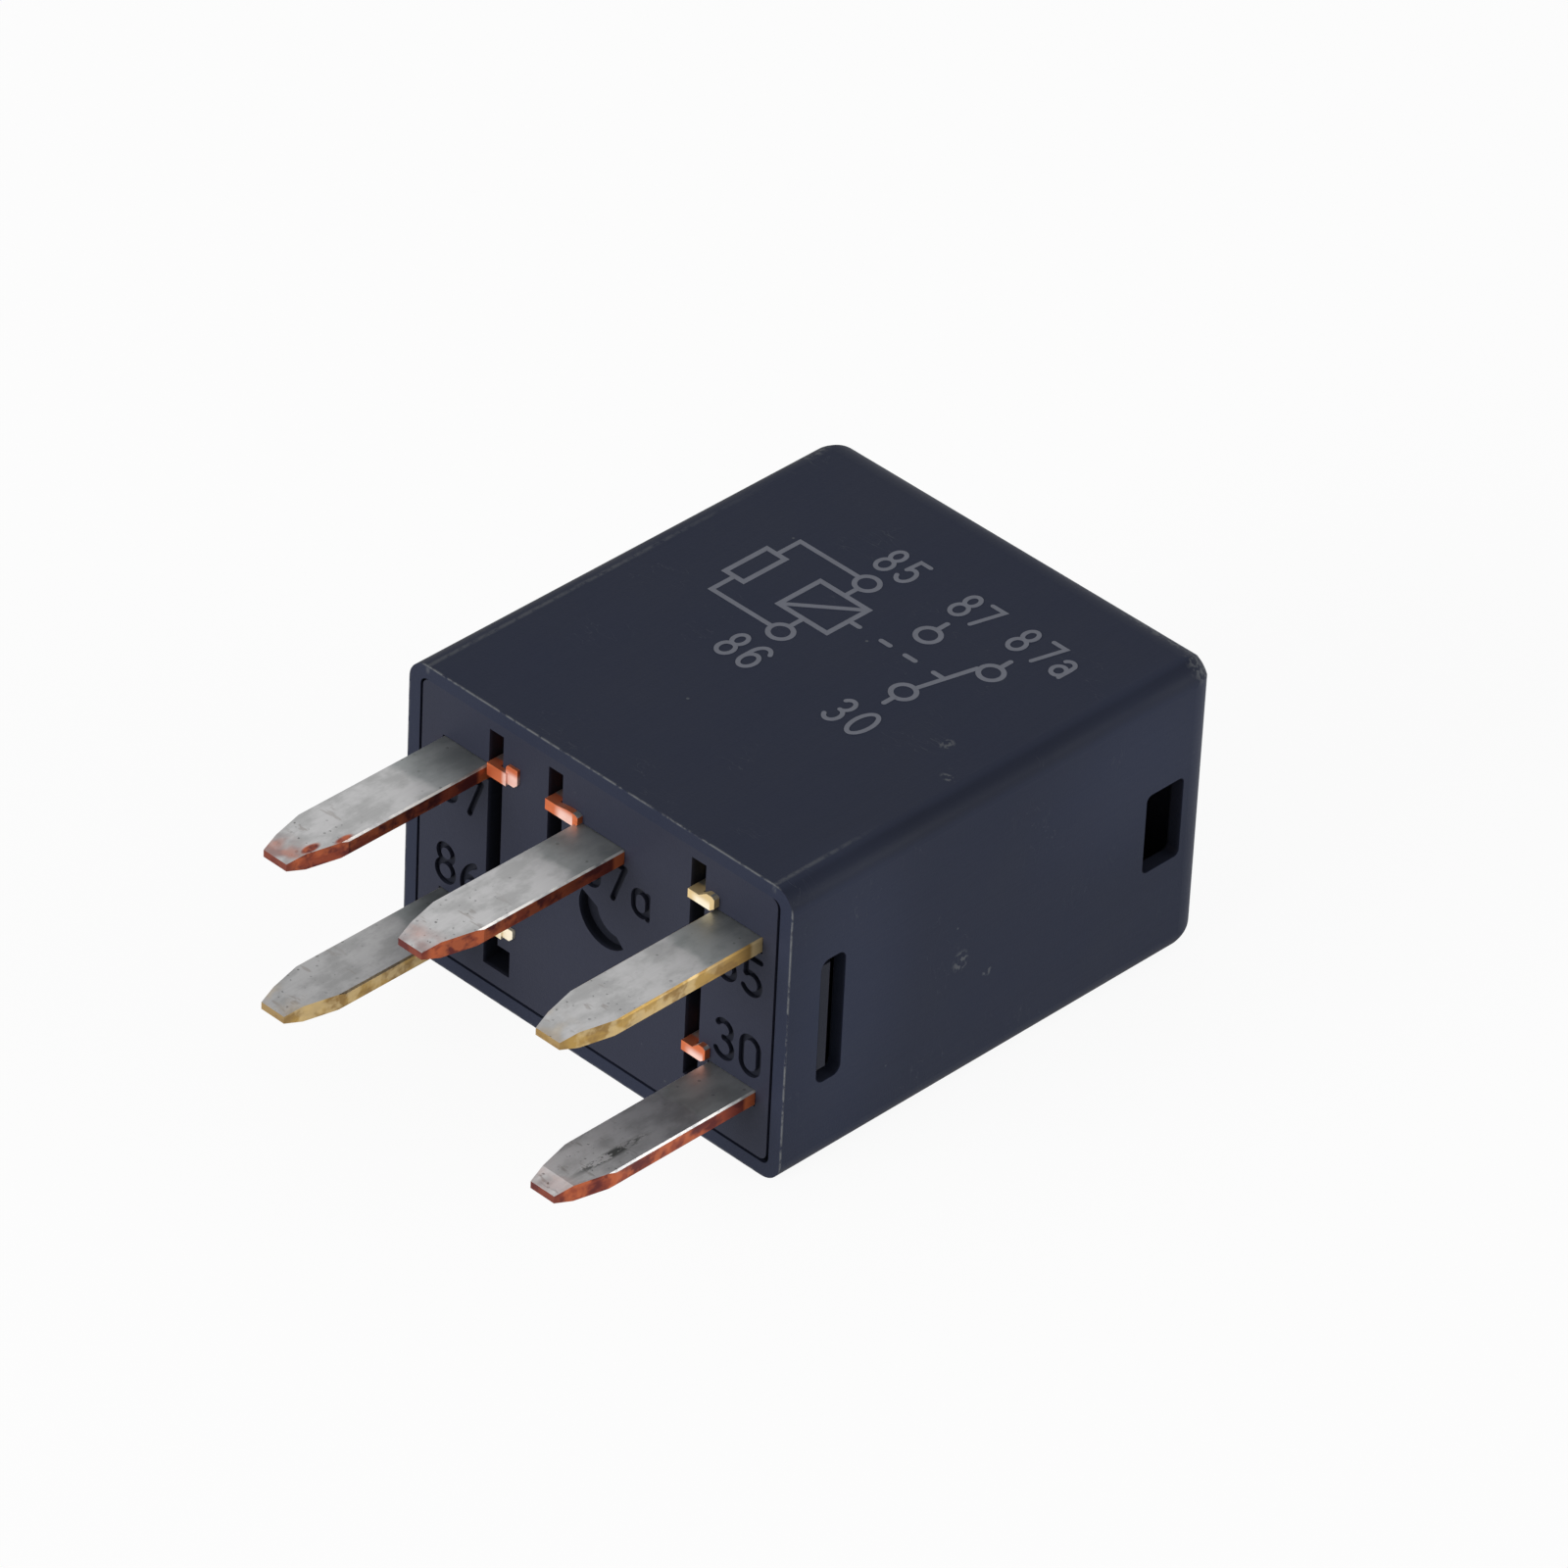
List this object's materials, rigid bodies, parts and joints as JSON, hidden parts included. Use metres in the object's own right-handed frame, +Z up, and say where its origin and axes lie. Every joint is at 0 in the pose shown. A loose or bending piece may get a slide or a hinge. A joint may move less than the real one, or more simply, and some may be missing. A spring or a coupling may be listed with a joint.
{
  "type": "automotive relay",
  "caption": "Small plug-in changeover relay: box cover, base plate with blade terminals, and a hinged armature, coil and contacts inside.",
  "frame": {"origin": "centre of the broad face of the cover that the relay lies on", "axes": "+X across the body along the rows of blades, +Y along the body away from the blades, +Z up through the body's thickness, towards the marked face"},
  "size_m": [0.023, 0.037, 0.0152],
  "materials": {
    "cover_plastic": "fine satin moulded PBT, dark blue-grey",
    "base_plastic": "fine satin moulded PBT, dark grey",
    "tinned_copper": "dull tin plate over copper alloy",
    "plated_iron": "zinc-nickel plated soft iron",
    "bobbin_plastic": "natural glass-filled nylon",
    "enamelled_wire": "enamelled copper wire",
    "spring_copper": "copper-beryllium strip, bright",
    "rivet_steel": "plated steel",
    "contact_silver": "silver alloy",
    "resistor_lacquer": "lacquered resistor body",
    "tinned_wire": "tinned copper wire"
  },
  "bodies": {
    "relay_body": {"cover": "cover_plastic", "base": "base_plastic", "terminal_30": "tinned_copper", "terminal_85": "tinned_copper", "terminal_86": "tinned_copper", "terminal_87": "tinned_copper", "terminal_87a": "tinned_copper", "yoke": "plated_iron", "core": "plated_iron", "bobbin": "bobbin_plastic", "coil_winding": "enamelled_wire", "coil_start_lead": "enamelled_wire", "coil_end_lead": "enamelled_wire", "yoke_rivets": "rivet_steel", "fixed_contact_open": "contact_silver", "fixed_contact_closed": "contact_silver", "resistor_body": "resistor_lacquer", "resistor_lead_85": "tinned_wire", "resistor_lead_86": "tinned_wire"},
    "armature_unit": {"armature": "plated_iron", "contact_spring": "spring_copper", "armature_rivets": "rivet_steel", "moving_contact": "contact_silver"}
  },
  "joints": [
    {"name": "armature_hinge", "type": "hinge", "parent": "relay_body", "child": "armature_unit", "pos_m": [0.00885, 0.00745, 0.0076], "axis": [0, 0, 1], "range_deg": [0, 2.4], "stiffness_Nm_per_rad": 0.003, "springref_deg": -2.86, "deforming": ["contact_spring"]}
  ]
}
